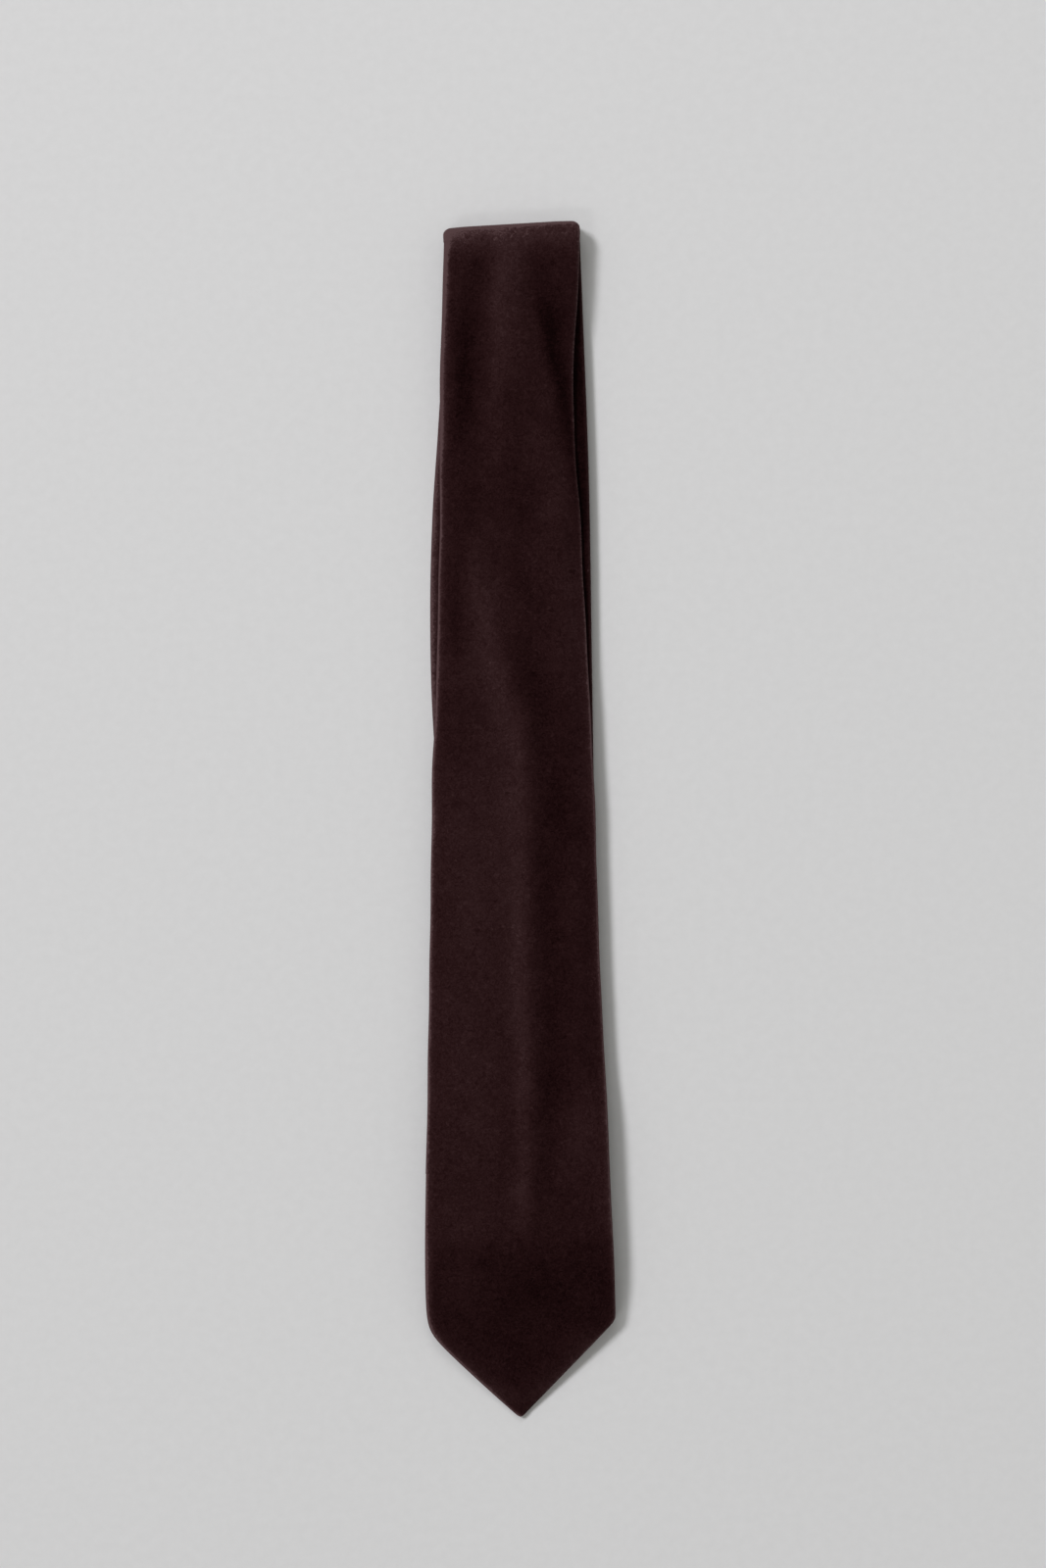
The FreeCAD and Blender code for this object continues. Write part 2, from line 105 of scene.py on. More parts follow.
# Edges, centre lines and widths of the panels, each as pairs of y and value.
FRONT_LEFT = [
    (-300, -41.6), (-215, -40.7), (-187, -40.6), (-146, -40.1), (-104, -39.1), (-62, -38.4), (-21, -37.8),
    (21, -37.3), (51, -35.9), (83, -35.0), (101, -34.4), (129, -34.0), (158, -34.0), (188, -34.1),
    (219, -33.0), (245.4, -32.5)]
FRONT_RIGHT = [
    (-300, 41.8), (-213, 40.6), (-195, 39.9), (-168, 38.8), (-142, 37.6), (-96, 35.4), (-68, 34.0),
    (-10, 32.0), (21, 31.0), (61, 28.8), (92, 27.0), (129, 25.2), (148, 23.7), (168, 22.6), (182, 22.3),
    (203, 22.9), (224, 24.7), (245.4, 25.3)]
MIDDLE_CENTRE = [(-177, 14.5), (-138, 13.2), (65, 4.5), (148, 0.7), (217, -2.3), (245.4, -3.6)]
MIDDLE_WIDE = [(-177, 38.0), (-138, 39.7), (65, 51.8), (148, 56.6), (217, 57.4), (245.4, 57.9)]
TAIL_CENTRE = [(-177, 14.5), (-60, -2.2), (30, -14.8), (85, -16.2), (130, -14.7), (165, -12.0), (230, -8.0)]
TAIL_WIDE = [(-177, 38.0), (-60, 41.2), (30, 43.4), (85, 44.4), (159, 46.2), (230, 48.4)]
FIRST_SEAM_Y, SECOND_SEAM_Y = 80.0, -80.0
SEAM_REACH = 70.0            # how far from a bias seam the rows still lean

# Soft folds pressed into the front panel's face: points along it, half-width, height.
CREASES = [
    ([(-21, 222), (-20, 190), (-20, 150)], 6.5, -0.7),
    ([(-5, 243), (-4, 205), (-3, 165), (-5, 130)], 8.0, 0.7),
    ([(6, 222), (12, 200), (18, 175), (23, 145)], 6.5, -0.95),
    ([(-22, 112), (-14, 92), (-7, 74), (-1, 50), (2, 36)], 6.0, 0.8),
    ([(3, 70), (10, 45), (13, 25)], 7.0, -0.5),
    ([(3, 42), (3.5, -20), (4, -90), (4.5, -170)], 4.6, 0.75),
    ([(12, 20), (12, -60), (13, -150)], 5.5, -0.4),
    ([(-6, -150), (4, -200), (3, -215)], 14.0, -0.4),
]

# Painted light and shade on the front panel's face: lighter (positive) on ridges and slopes that face the
# light, darker (negative) in troughs and on slopes turned away. Each band runs down the tie through rows of:
# y, x, width to the left, width to the right, change of brightness.
PAINTED_LIGHT_BANDS = {
    "left trough": [
        (238, -18, 6, 5, 0.00), (229, -19, 7, 5, -0.20), (220, -22, 6, 5, -0.22), (210, -22, 5.5, 6, -0.42),
        (199, -24, 4.5, 6.5, -0.52), (180, -24.5, 4, 6.5, -0.55), (165, -26, 4, 8, -0.36),
        (148, -25, 5, 10, -0.24), (130, -24, 5, 9, -0.27), (116, -26, 4, 6, -0.14), (98, -27.5, 3, 3, -0.25),
        (84, -27.5, 3, 3.5, -0.25), (68, -27, 3, 4, -0.08), (55, -27, 3, 4, 0.00)],
    "upper ridge": [
        (252, -4, 9, 8, -0.10), (245, -4, 8, 7, 0.05), (238, -5, 6, 7, 0.34), (228, -9, 4.2, 9, 0.46),
        (217, -10, 3.8, 9.5, 0.42), (208, -9.5, 3.8, 9, 0.26), (199, -9, 4.5, 7, 0.26),
        (178, -11, 3.5, 4, 0.18), (160, -11, 4, 5, 0.08), (140, -12, 4, 4, 0.00)],
    "diagonal trough": [
        (246, 10, 5, 10, 0.00), (236, 9, 5, 12, -0.13), (228, 7.5, 4, 14, -0.22), (219, 8.5, 3.5, 14, -0.42),
        (209, 11, 3.2, 9, -0.66), (199, 13.5, 4, 5.5, -0.68), (180, 18.3, 4, 3.5, -0.66),
        (160, 21.2, 4, 3, -0.50), (148, 23, 3.5, 3, -0.40), (132, 25, 3, 3, -0.22), (112, 27, 3, 3, 0.00)],
    "slanting ridge": [
        (126, -15, 4, 6, 0.00), (110, -18.5, 4.5, 6, 0.17), (98, -18, 5, 7, 0.30), (84, -16, 6, 7, 0.37),
        (70, -13, 8, 6, 0.40), (60, -9.5, 10, 4.8, 0.35), (48, -6, 12, 4.8, 0.28), (36, -3, 13, 4.2, 0.27),
        (20, 0, 15, 3.8, 0.34), (0, -0.5, 15, 4.2, 0.33), (-20, -0.5, 11, 4.3, 0.34),
        (-42, -1, 6, 4.3, 0.42), (-80, -0.5, 6, 4.5, 0.33), (-102, 0.5, 3.5, 4.2, 0.42),
        (-122, 0.8, 3.5, 4, 0.37), (-142, 1.2, 3.5, 4, 0.26), (-166, 1.5, 4, 4, 0.20),
        (-178, 1.5, 5, 5, 0.00)],
    "beside the ridge": [
        (86, 0, 6, 8, 0.00), (70, 2, 6, 8, -0.17), (60, 4.5, 5, 10, -0.24), (48, 7, 4.5, 13, -0.28),
        (34, 9, 4, 11, -0.26), (20, 14, 8, 9, -0.24), (0, 13, 6.3, 10, -0.31), (-22, 11.5, 5.4, 7, -0.36),
        (-42, 11.5, 5, 6, -0.33), (-62, 13, 6, 8, -0.33), (-82, 12.5, 5.5, 7, -0.34),
        (-102, 14, 6.5, 9, -0.34), (-122, 10.8, 4.5, 8, -0.34), (-140, 11.5, 6, 5, -0.18),
        (-164, 8.5, 4, 8, -0.14), (-176, 9, 5, 8, 0.00)],
    "calm left side": [
        (36, -22, 12, 12, 0.00), (10, -22, 13, 12, 0.15), (-60, -22, 13, 14, 0.19),
        (-110, -22, 13, 14, 0.22), (-150, -24, 13, 14, 0.12), (-178, -26, 12, 14, 0.14),
        (-200, -26, 10, 12, 0.10), (-216, -24, 8, 10, 0.00)],
    "right side": [
        (60, 27, 10, 9, 0.00), (30, 26, 9, 9, 0.06), (0, 27, 11, 9, -0.05), (-60, 28, 11, 9, -0.04),
        (-104, 28, 11, 9, -0.03), (-126, 29, 11, 9, 0.08), (-142, 28, 10, 9, 0.10), (-160, 27, 12, 9, -0.05),
        (-176, 27, 12, 9, 0.00)],
    "upper middle": [
        (176, -1, 7, 7, 0.00), (150, -2, 8, 6, -0.12), (120, 0, 8, 8, -0.14), (100, -1, 7, 8, -0.15),
        (78, 4, 7, 8, -0.05), (66, 4, 7, 8, 0.00)],
    "upper right": [
        (168, 10, 6, 6, 0.00), (140, 16, 7, 5, 0.12), (118, 17, 7, 7, 0.08), (78, 24, 7, 6, 0.12),
        (60, 25, 8, 7, 0.12), (42, 27, 8, 7, 0.00)],
    "point middle": [
        (-182, 8, 20, 30, 0.00), (-192, 9, 16, 30, -0.12), (-208, 9, 15, 24, -0.07),
        (-222, 4, 12, 10, -0.06), (-236, 2, 8, 6, 0.00)],
}
# Further painted light and shade.
POINT_PAINTED_SHADE = -0.27          # painted shade over the drooping point, which turns away from the light
FOLD_PAINTED_HIGHLIGHT = 1.0              # painted highlight over the upper fold
EDGE_PAINTED_HIGHLIGHT = 0.95             # painted highlight: fine bright line where pile standing off the very edges catches the light
ROLLED_EDGE_PAINTED_HIGHLIGHT = 0.50              # painted highlight along the front panel's rolled edges
MIDDLE_RIM_PAINTED_HIGHLIGHT, TAIL_RIM_PAINTED_HIGHLIGHT = 2.1, 2.1      # brightness of the painted highlights along the other two panels' rims
SLANT_PAINTED_HIGHLIGHT = 0.483           # painted highlight along the two sloping edges of the point

# Openings of the lined backs: y of the top, of the widest place and of the end, and half-width there.
POINT_OPENING = {"top": -182.0, "side": -214.0, "end": -238.0, "half": 27.0}
TAIL_OPENING = {"top": 158.0, "side": 184.0, "end": 200.0, "half": 14.0}

WOOL_HALF = 0.6              # half the interlining's thickness
WOOL_INSET = 5.0             # from the rolled edge to the interlining's edge
WOOL_SIDE = 16               # points across each of its sides
TUCK = 4.5                   # how far a tipping runs under the hems beside its opening
KEEPER_THICK = 0.42          # cloth of the keeper loop
STITCH_PACE = 9.0            # from one slip stitch to the next
STITCH_LONG = 3.2
FELL_PACE = 1.9              # from one stitch of a tipping to the next
THREAD_FLOOR = 0.3           # thread under the tail stays above this height

# Parts of the strip that are shaped alike.
FRONT_PARTS = ("front", "point")
FOLD_PARTS = ("top_fold", "low_fold")
TAIL_PARTS = ("neck_end", "tail")


# ---------------------------------------------------------------- small maths
def along(points, at):
    """Smooth curve through (position, value) pairs, read at one or many positions."""
    x, v = np.array(points, float).T
    slope = np.gradient(v, x)
    at = np.clip(np.asarray(at, float), x[0], x[-1])
    i = np.clip(np.searchsorted(x, at, side="right") - 1, 0, len(x) - 2)
    span = x[i + 1] - x[i]
    t = (at - x[i]) / span
    return ((1 + 2 * t) * (1 - t) ** 2 * v[i] + t * (1 - t) ** 2 * span * slope[i]
            + t * t * (3 - 2 * t) * v[i + 1] + t * t * (t - 1) * span * slope[i + 1])


def step(at, start, end):
    """0 before start, 1 after end, smooth between."""
    t = np.clip((np.asarray(at, float) - start) / (end - start), 0, 1)
    return t * t * (3 - 2 * t)


def soft_max(a, b, softness):
    """The larger of two values, rounded off where they cross."""
    return (a + b + np.sqrt((a - b) ** 2 + softness ** 2)) / 2


def waves(x, y, seed, size):
    """Gentle unevenness between about -1 and 1 with features of the given size."""
    draw = np.random.default_rng(seed)
    total = 0.0
    for _ in range(6):
        angle, phase = draw.uniform(0, 2 * math.pi, 2)
        pitch = size * draw.uniform(0.7, 1.6)
        total = total + np.sin(2 * math.pi * (x * math.cos(angle) + y * math.sin(angle)) / pitch + phase)
    return total / 3.5


def to_line(x, y, points):
    """Distance from each (x, y) to a line through the points."""
    best = np.full(np.shape(x), 1e9)
    for (ax, ay), (bx, by) in zip(points[:-1], points[1:]):
        dx, dy = bx - ax, by - ay
        t = np.clip(((x - ax) * dx + (y - ay) * dy) / (dx * dx + dy * dy), 0, 1)
        best = np.minimum(best, np.hypot(x - ax - t * dx, y - ay - t * dy))
    return best


def rim(distance, wide):
    """1 on an edge or line, fading to nothing over about the given width."""
    return np.exp(-(distance / wide) ** 2)


def tone_and_painted_light(x, y, to_left, to_right):
    """Pile tone and painted light and shade of the front panel, 1 where plain; to_left and to_right reach to
    the edges.
    """
    total = 1 + 0.05 * waves(x, y, 11, 24.0) + 0.04 * waves(x, y, 12, 9.0)
    # Painted shade over the drooping point; its bend runs at a slight slant.
    total = total + POINT_PAINTED_SHADE * step(0.11 * x - y, 173, 185)
    # Painted highlight over the upper fold, stronger at its left end, towards the light.
    total = total + FOLD_PAINTED_HIGHLIGHT * step(y, 236, 252) * (1.16 - 0.0125 * (x + 30))
    # The painted highlight line follows both edges and the fold, and fades at the tip.
    line = rim(to_left, 0.9) + rim(to_right, 0.8) + step(y - 0.06 * x, 249.5, 252.2)
    total = total + EDGE_PAINTED_HIGHLIGHT * (1 - 0.85 * step(-y, 228, 246)) * line
    # The painted rim highlight is strongest on the left, towards the light, near the fold and beside the
    # point; the right one shows only on the blade.
    rim_highlight_boost = 2.0 * step(y, 140, 180) + 0.9 * step(y, 200, 232) + 1.4 * step(-y, 172, 188)
    total = total + ROLLED_EDGE_PAINTED_HIGHLIGHT * (rim(to_left, 2.1) * (1 + rim_highlight_boost) + rim(to_right, 2.0) * step(-y, -110, 0))
    # Painted highlight inside the two sloping edges, left out at the very tip.
    sloping = step(-y, 205, 222) * step(y, -252, -243)
    for slope, side, wide in ((POINT_SLOPES[0], -1, 7.0), (POINT_SLOPES[1], 1, 8.0)):
        inside = (y - POINT_TIP[1]) * math.cos(slope) - side * (x - POINT_TIP[0]) * math.sin(slope)
        total = total + SLANT_PAINTED_HIGHLIGHT * rim(inside, wide) * sloping
    # Painted light and shade over the creases and ridges, band by band.
    for band in PAINTED_LIGHT_BANDS.values():
        level, centre, left, right, change = np.array(band[::-1], float).T
        middle, change = np.interp(y, level, centre), along(list(zip(level, change)), y)
        wide = np.where(x < middle, np.interp(y, level, left), np.interp(y, level, right))
        inside = (y >= level[0]) & (y <= level[-1])
        total = total + np.where(inside, change * rim(x - middle, wide), 0)
    return total


def relief(x, y):
    """Height of the front panel's face above its plain form."""
    total = 0.16 * waves(x, y, 3, 38.0)
    for points, wide, high in CREASES:
        total = total + high * rim(to_line(x, y, points), wide)
    return total


# ---------------------------------------------------------------- the strip, row by row
def front_height(y):
    """Height of the front panel's middle layer, with the point drooping past the layers under it."""
    bend = DROOP_Y - y
    droop = 0.15 * (bend + np.sqrt(bend ** 2 + 60)) / 2
    return 10.8 + 1.65 * step(-y, 100, 136) + 1.5 * step(y, 185, 240) - droop


def middle_height(y):
    """Height of the middle panel's middle layer, which drops to the upper fold and rises to the lower one."""
    return 5.8 - 4.0 * step(y, 216, 240) + 2.4 * step(-y, 138, 166)


def pointed_edges(y, left, right, tip, slopes, corners, toward):
    """Narrows the two edges to a point; toward is -1 when the point faces -Y."""
    gone = np.maximum(toward * (tip[1] - y) - TIP_SOFT, 1e-4)
    half = np.sqrt(gone * (gone + 2 * TIP_SOFT))
    left = soft_max(left, tip[0] - half / math.tan(slopes[0]), corners[0])
    right = -soft_max(-right, -(tip[0] + half / math.tan(slopes[1])), corners[1])
    return np.minimum(left, tip[0]), np.maximum(right, tip[0])


def opening_half(y, opening, toward):
    """Half-width of the back opening at y; 0 where the back is closed."""
    top, side, end, half = (toward * opening[k] for k in ("top", "side", "end", "half"))
    half = abs(half)
    y = toward * y
    return float(np.interp(y, [top, side, end], [0, half, 0], left=0, right=0))


class Row:
    """One cross-section of the strip: centre, directions across and out of the face, and its widths.

    gap is the half-width of the back opening, lean how far the row follows a bias seam, tip the share of the
    full thickness and slant how much wider the rolled edges are where they run on a slope.
    """

    def __init__(self, part, centre, across, normal, left, right, gap=0.0, lean=0.0, tip=1.0, slant=1.0):
        self.part, self.gap, self.lean, self.tip, self.slant = part, gap, lean, tip, slant
        self.centre, self.across, self.normal = (np.array(v, float) for v in (centre, across, normal))
        self.left, self.right = left, right


def flat_row(part, y, left, right, height, slope, face, yaw=0.0, **more):
    """Row on a panel; face is +1 face up, -1 face down."""
    middle = (left + right) / 2
    normal = np.array([0, -slope, 1.0]) * face
    return Row(part, (middle, y, height), (math.cos(yaw), math.sin(yaw), 0), normal / np.linalg.norm(normal),
               middle - left, right - middle, **more)


def fold_rows(part, fold, face):
    """Half a turn round a fold, from its top to its bottom; face is +1 when the face is outside."""
    forward = fold["out"] * np.array([-math.sin(fold["tilt"]), math.cos(fold["tilt"]), 0])
    across = (math.cos(fold["tilt"]), math.sin(fold["tilt"]), 0)
    centre = np.array([fold["x"], fold["y"], fold["z"]])
    rows = []
    outer = fold["mid"] + THICK / 2
    for angle in np.linspace(math.pi / 2, -math.pi / 2, FOLD_ROWS):
        out = forward * math.cos(angle) + np.array([0, 0, math.sin(angle)])
        past = max(0.0, outer * math.cos(angle) - (outer - FOLD_CORNER))
        width = fold["half"] - (FOLD_CORNER - math.sqrt(max(0.0, FOLD_CORNER ** 2 - past ** 2)))
        place = centre + out * fold["mid"] + forward * math.cos(angle) * fold["reach"]
        rows.append(Row(part, place, across, out * face, width, width))
    return rows


def slope_of(height, y):
    """Rise of a height curve over one millimetre at y."""
    return float(height(y + 0.5) - height(y - 0.5))


def tip_share(left, right):
    """1 where the strip has its full thickness, falling to 0 at a tip."""
    return min(1.0, float(right - left) / TIP_WIDE)


def top_yaw(y):
    """Turn of the rows as a panel comes up to the upper fold's tilted line."""
    return TOP_FOLD["tilt"] * float(step(y, 205, TOP_FOLD["y"]))


def low_yaw(y):
    """The same for the lower fold."""
    return LOW_FOLD["tilt"] * float(step(-y, 140, -LOW_FOLD["y"]))


def point_row(y):
    left, right = along(FRONT_LEFT, y), along(FRONT_RIGHT, y)
    left, right = pointed_edges(y, left, right, POINT_TIP, POINT_SLOPES, POINT_CORNERS, -1)
    slant = 1.0 + 0.4 * float(step(-y, 208, 222))
    return flat_row("point", y, float(left), float(right), float(front_height(y)), slope_of(front_height, y),
                    1, gap=opening_half(y, POINT_OPENING, -1), tip=tip_share(left, right), slant=slant)


def front_row(y):
    left, right = float(along(FRONT_LEFT, y)), float(along(FRONT_RIGHT, y))
    return flat_row("front", y, left, right, float(front_height(y)), slope_of(front_height, y), 1,
                    yaw=top_yaw(y))


def seam_lean(y, seam):
    """How far rows lean along a bias seam: 1 is forty-five degrees."""
    return float(1 - step(abs(y - seam), 0, SEAM_REACH))


def middle_row(part, y):
    middle, half = float(along(MIDDLE_CENTRE, y)), float(along(MIDDLE_WIDE, y)) / 2
    height, slope = float(middle_height(y)), slope_of(middle_height, y)
    return flat_row(part, y, middle - half, middle + half, height, slope, -1,
                    yaw=top_yaw(y) + low_yaw(y), lean=seam_lean(y, FIRST_SEAM_Y))


def tail_row(part, y):
    middle, half = float(along(TAIL_CENTRE, y)), float(along(TAIL_WIDE, y)) / 2
    left, right = pointed_edges(y, middle - half, middle + half, TAIL_TIP, TAIL_SLOPES, TAIL_CORNERS, 1)
    return flat_row(part, y, float(left), float(right), TAIL_HEIGHT, 0.0, 1, yaw=low_yaw(y),
                    lean=seam_lean(y, SECOND_SEAM_Y), gap=opening_half(y, TAIL_OPENING, 1),
                    tip=tip_share(left, right), slant=1.0 + 0.4 * float(step(y, 182, 192)))


def spaced(start, end, pace=ROW_STEP):
    """Even positions from start to end, both included."""
    return np.linspace(start, end, max(2, int(round(abs(end - start) / pace)) + 1))


def strip_rows():
    """All rows from the front point to the tail's point. Neighbouring parts share their border row."""
    point_end, tail_end = POINT_TIP[1] + TIP_SOFT, TAIL_TIP[1] - TIP_SOFT
    rows = [point_row(point_end + d) for d in TIP_STEPS]
    rows += [point_row(y) for y in spaced(point_end + TIP_REACH, POINT_TOP)]
    rows += [front_row(y) for y in spaced(POINT_TOP, TOP_FOLD["y"])]
    rows += fold_rows("top_fold", TOP_FOLD, 1)
    rows += [middle_row("front_upper", y) for y in spaced(TOP_FOLD["y"], FIRST_SEAM_Y)]
    rows += [middle_row("neck", y) for y in spaced(FIRST_SEAM_Y, LOW_FOLD["y"])]
    rows += fold_rows("low_fold", LOW_FOLD, -1)
    rows += [tail_row("neck_end", y) for y in spaced(LOW_FOLD["y"], SECOND_SEAM_Y)]
    rows += [tail_row("tail", y) for y in spaced(SECOND_SEAM_Y, tail_end - TIP_REACH)]
    rows += [tail_row("tail", tail_end - d) for d in TIP_STEPS[::-1]]
    return rows


def flap(side, edge, reach, roll_wide, half_thick, tip, under):
    """Back flap from its hidden hem to the rolled edge, as (across, out) pairs; side is -1 left, +1 right.

    edge is where the flap's finished hem lies, measured from the centre towards its own side; under is how
    deep it sinks beneath the other flap.
    """
    roll = HEM_ROLL * tip
    inner = -half_thick + 2 * roll
    points = [(edge + HEM_RETURN * tip, inner), (edge + HEM_RETURN * tip * 0.4, inner)]
    for k in range(5):
        angle = math.pi / 2 + math.pi * k / 4
        points.append((edge + roll + roll * math.cos(angle), -half_thick + roll + roll * math.sin(angle)))
    span = reach - roll_wide - edge - roll
    for k in range(1, FLAP_POINTS + 1):
        points.append((edge + roll + span * k / FLAP_POINTS, -half_thick))
    clear_from, clear_to = -FLAP_OVER - 0.2, 0.2 * FLAP_OVER + 3.5
    return [(side * across, out + under * (1 - float(step(across, clear_from, clear_to))))
            for across, out in points]


def profile(row):
    """Cross-section of the wrapped velvet as (across, out) pairs, hem to hem, in millimetres."""
    half_thick = THICK / 2 * row.tip
    roll = min(half_thick * row.slant, 0.49 * (row.left + row.right))
    open_back = row.gap > 0 or row.tip < 1
    shut = min(row.left, row.right) - roll * 1.3       # hems come no nearer to the rolled edges
    left_edge = min(row.gap if open_back else -FLAP_OVER, shut)
    right_edge = min(row.gap if open_back else -FLAP_UNDER, shut)
    points = flap(-1, left_edge, row.left, roll, half_thick, row.tip, 0.0)
    angles = [math.pi * k / (ROLL_POINTS + 1) for k in range(1, ROLL_POINTS + 1)]
    for angle in angles:
        points.append((-row.left + roll - roll * math.sin(angle), -half_thick * math.cos(angle)))
    for k in range(FACE_POINTS):
        across = -row.left + roll + (row.left + row.right - 2 * roll) * k / (FACE_POINTS - 1)
        points.append((across, half_thick))
    for angle in angles:
        points.append((row.right - roll + roll * math.sin(angle), half_thick * math.cos(angle)))
    right = flap(1, right_edge, row.right, roll, half_thick, row.tip, 0.0 if open_back else FLAP_SINK)
    return points + right[::-1]


def shoulder_drop(row, across):
    """Fall of the face to its edges: slight round the folds and where the right edge stands up."""
    if row.part in FOLD_PARTS:
        return 0.25 * SHOULDER_DROP
    y = row.centre[1]
    standing = 0.0
    if row.part in FRONT_PARTS:
        standing = max(float(step(y, 196, 218)), float(step(-y, 118, 140)))
    near_fold = float(step(y, 228, TOP_FOLD["y"]))
    return SHOULDER_DROP * np.where(across > 0, 1 - 0.75 * standing, 1 - 0.75 * near_fold)


def edge_sag(row, across):
    """How far the front panel's two edges sink between the folds and beside the point."""
    if row.part not in FRONT_PARTS:
        return np.zeros(np.shape(across))
    y = row.centre[1]
    amount = SAG * float(step(-y, -205, -160)) * float(step(y, -130, -95))
    amount += POINT_SAG * float(step(-y, 192, 216)) * row.tip
    to_edge = np.minimum(row.left + across, row.right - across)
    return amount * (1 - step(to_edge, 0, SAG_WIDE))


def face_rise(row, points, across, out):
    """Height of the creases and waves of the face at each point of a row."""
    if row.part in FOLD_PARTS:
        return np.zeros(len(points))
    x, y = points[:, 0], points[:, 1]
    share = np.clip(out / (THICK / 2), 0, 1)
    share = share * step(row.left + across, 0.5, 9) * step(row.right - across, 0.5, 9)
    if row.part in FRONT_PARTS:
        return relief(x, y) * share * row.tip * float(1 - step(row.centre[1], 236, TOP_FOLD["y"]))
    from_fold = min(abs(row.centre[1] - LOW_FOLD["y"]), abs(row.centre[1] - TOP_FOLD["y"]))
    return 0.12 * waves(x, y, 21, 30.0) * share * min(1, from_fold / 25)


def row_points(row):
    """The row's points in space, millimetres."""
    across, out = np.array(profile(row)).T
    to_edge = np.minimum(row.left + across, row.right - across)
    shoulder = shoulder_drop(row, across) * (1 - step(to_edge, 0, SHOULDER_WIDE)) * row.tip
    out = out - shoulder * np.clip(out / (THICK / 2), 0, 1)
    base = row.centre + np.outer(across, row.across)
    if row.lean:
        path, wide = (TAIL_CENTRE, TAIL_WIDE) if row.part in TAIL_PARTS else (MIDDLE_CENTRE, MIDDLE_WIDE)
        y = row.centre[1] + across * row.lean
        base[:, 1] = y
        base[:, 0] = along(path, y) + across * along(wide, y) / (row.left + row.right)
    points = base + np.outer(out - edge_sag(row, across), row.normal)
    rise = face_rise(row, points, across, out)
    if row.part in FRONT_PARTS:
        points[:, 0] += 0.22 * waves(points[:, 1], points[:, 0] * 0.2, 8, 46.0) * row.tip
    points = points + np.outer(rise, row.normal)
    points[:, 2] = np.maximum(points[:, 2], FLOOR_GAP)
    return points


def row_tone_and_painted_light(row, points):
    """Pile tone with painted light and shade at each point of a row."""
    x, y = points[:, 0], points[:, 1]
    across, out = np.array(profile(row)).T
    to_left, to_right = row.left + across, row.right - across
    if row.part in FRONT_PARTS:
        return tone_and_painted_light(x, y, to_left, to_right)
    to_edge = np.minimum(to_left, to_right)
    plain = 1 + 0.05 * waves(x, y, 14, 22.0)
    # The tail panel gets a painted highlight along its rims.
    if row.part in TAIL_PARTS:
        return plain + (TAIL_RIM_PAINTED_HIGHLIGHT - 1) * rim(to_edge, 2.6)
    # Painted shade on the middle panel's back and painted highlight along its rims; on the lower fold the
    # shade keeps to its upper half.
    back = np.clip(0.5 - out / THICK, 0, 1)
    if row.part == "low_fold":
        low_z, mid = LOW_FOLD["z"], LOW_FOLD["mid"]
        back = back * float(step(row.centre[2], low_z - mid, low_z + mid))
    face_down_painted_light = plain + (BACK_PAINTED_SHADE - 1) * back + (MIDDLE_RIM_PAINTED_HIGHLIGHT - 1) * rim(to_edge, 1.1)
    # Round the upper fold the front's painted light gives way to the middle panel's painted shade.
    if row.part == "top_fold":
        turned = float(step(TOP_FOLD["z"] - row.centre[2], -2, TOP_FOLD["mid"]))
        return tone_and_painted_light(x, y, to_left, to_right) * (1 - turned) + face_down_painted_light * turned
    return face_down_painted_light


# ---------------------------------------------------------------- meshes
def make_object(name, vertices, faces, normals=None):
    """Smooth-shaded mesh object from points in metres."""
    mesh = bpy.data.meshes.new(name)
    mesh.from_pydata([tuple(v) for v in vertices], [], faces)
    mesh.update()
    for polygon in mesh.polygons:
        polygon.use_smooth = True
    if normals is not None:
        mesh.normals_split_custom_set_from_vertices([tuple(n) for n in normals])
    made = bpy.data.objects.new(name, mesh)
    bpy.context.scene.collection.objects.link(made)
    return made


def paint(piece, shades):
    """Stores the pile tone with its painted light and shade at each vertex for the velvet material."""
    layer = piece.data.attributes.new("tone_and_painted_light", "FLOAT", "POINT")
    layer.data.foreach_set("value", np.asarray(shades, dtype=np.float32))


def grid_faces(rows, columns, closed=False):
    """Quads of a rows by columns grid; closed joins the last column to the first."""
    faces = []
    for i in range(rows - 1):
        for j in range(columns if closed else columns - 1):
            k = (j + 1) % columns
            faces.append((i * columns + j, i * columns + k, (i + 1) * columns + k, (i + 1) * columns + j))
    return faces


def end_caps(rows, columns):
    """Faces that close the two ends of a tube made of rings."""
    return [tuple(range(columns))[::-1], tuple(range((rows - 1) * columns, rows * columns))]


def grid_normals(grid):
    """Unit normals of a rows by columns grid of points."""
    down, over = np.gradient(grid, axis=0), np.gradient(grid, axis=1)
    normal = np.cross(over, down)
    return normal / np.maximum(np.linalg.norm(normal, axis=2, keepdims=True), 1e-12)


